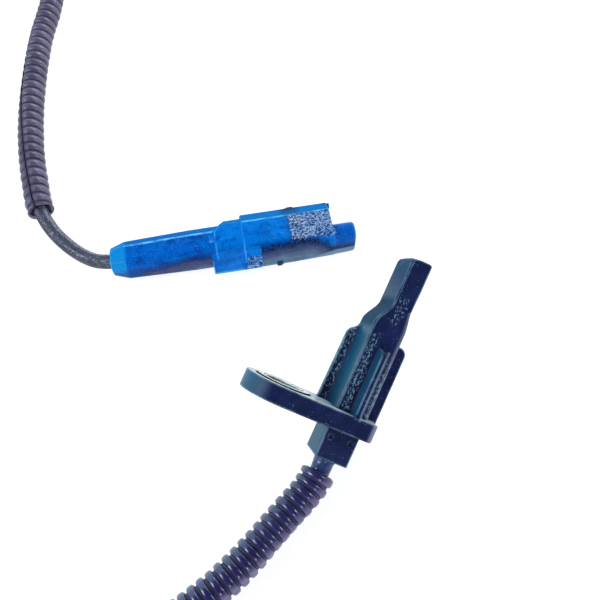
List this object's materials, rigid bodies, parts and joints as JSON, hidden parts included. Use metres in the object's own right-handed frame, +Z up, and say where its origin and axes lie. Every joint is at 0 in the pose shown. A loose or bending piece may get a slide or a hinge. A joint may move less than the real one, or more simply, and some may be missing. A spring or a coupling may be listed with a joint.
{
  "type": "wheel speed sensor",
  "caption": "Bolt-on wheel speed sensor: a moulded finned probe on a flange, its cable in a split corrugated conduit, and a blue plug on the far end.",
  "frame": {"origin": "middle of the sensor head's box, taken without the lead and plug, on the ground plane that the part lies on", "axes": "+Z up; +Y along the ground the way the probe points, with the probe's tip 22 degrees up from it; the lead lies to the -X side"},
  "size_m": [0.2206, 0.1991, 0.0299],
  "materials": {
    "black_plastic": "moulded, worn satin",
    "bush_steel": "plated",
    "carrier_plastic": "moulded",
    "magnet": "sintered",
    "epoxy": "moulded",
    "tinned_strip": "tinned",
    "copper_alloy": "stamped",
    "wire_brown": "extruded",
    "wire_white": "extruded",
    "cable_jacket": "matt, scuffed",
    "conduit_plastic": "corrugated, satin",
    "blue_plastic": "moulded, scuffed",
    "pin_metal": "tinned"
  },
  "bodies": {
    "root": {"sensor_housing": "black_plastic", "flange_bush": "bush_steel", "chip_carrier": "carrier_plastic", "bias_magnet": "magnet", "sensing_element": "epoxy", "filter_capacitor": "epoxy", "lead_strip_left": "tinned_strip", "lead_strip_right": "tinned_strip", "splice_crimp_left": "copper_alloy", "splice_crimp_right": "copper_alloy", "wire_brown_head": "wire_brown", "wire_white_head": "wire_white", "cable_jacket": "cable_jacket", "split_conduit": "conduit_plastic", "plug_housing": "blue_plastic", "pin_carrier": "carrier_plastic", "contact_pin_upper": "pin_metal", "contact_pin_lower": "pin_metal", "wire_brown_plug": "wire_brown", "wire_white_plug": "wire_white"}
  },
  "joints": []
}
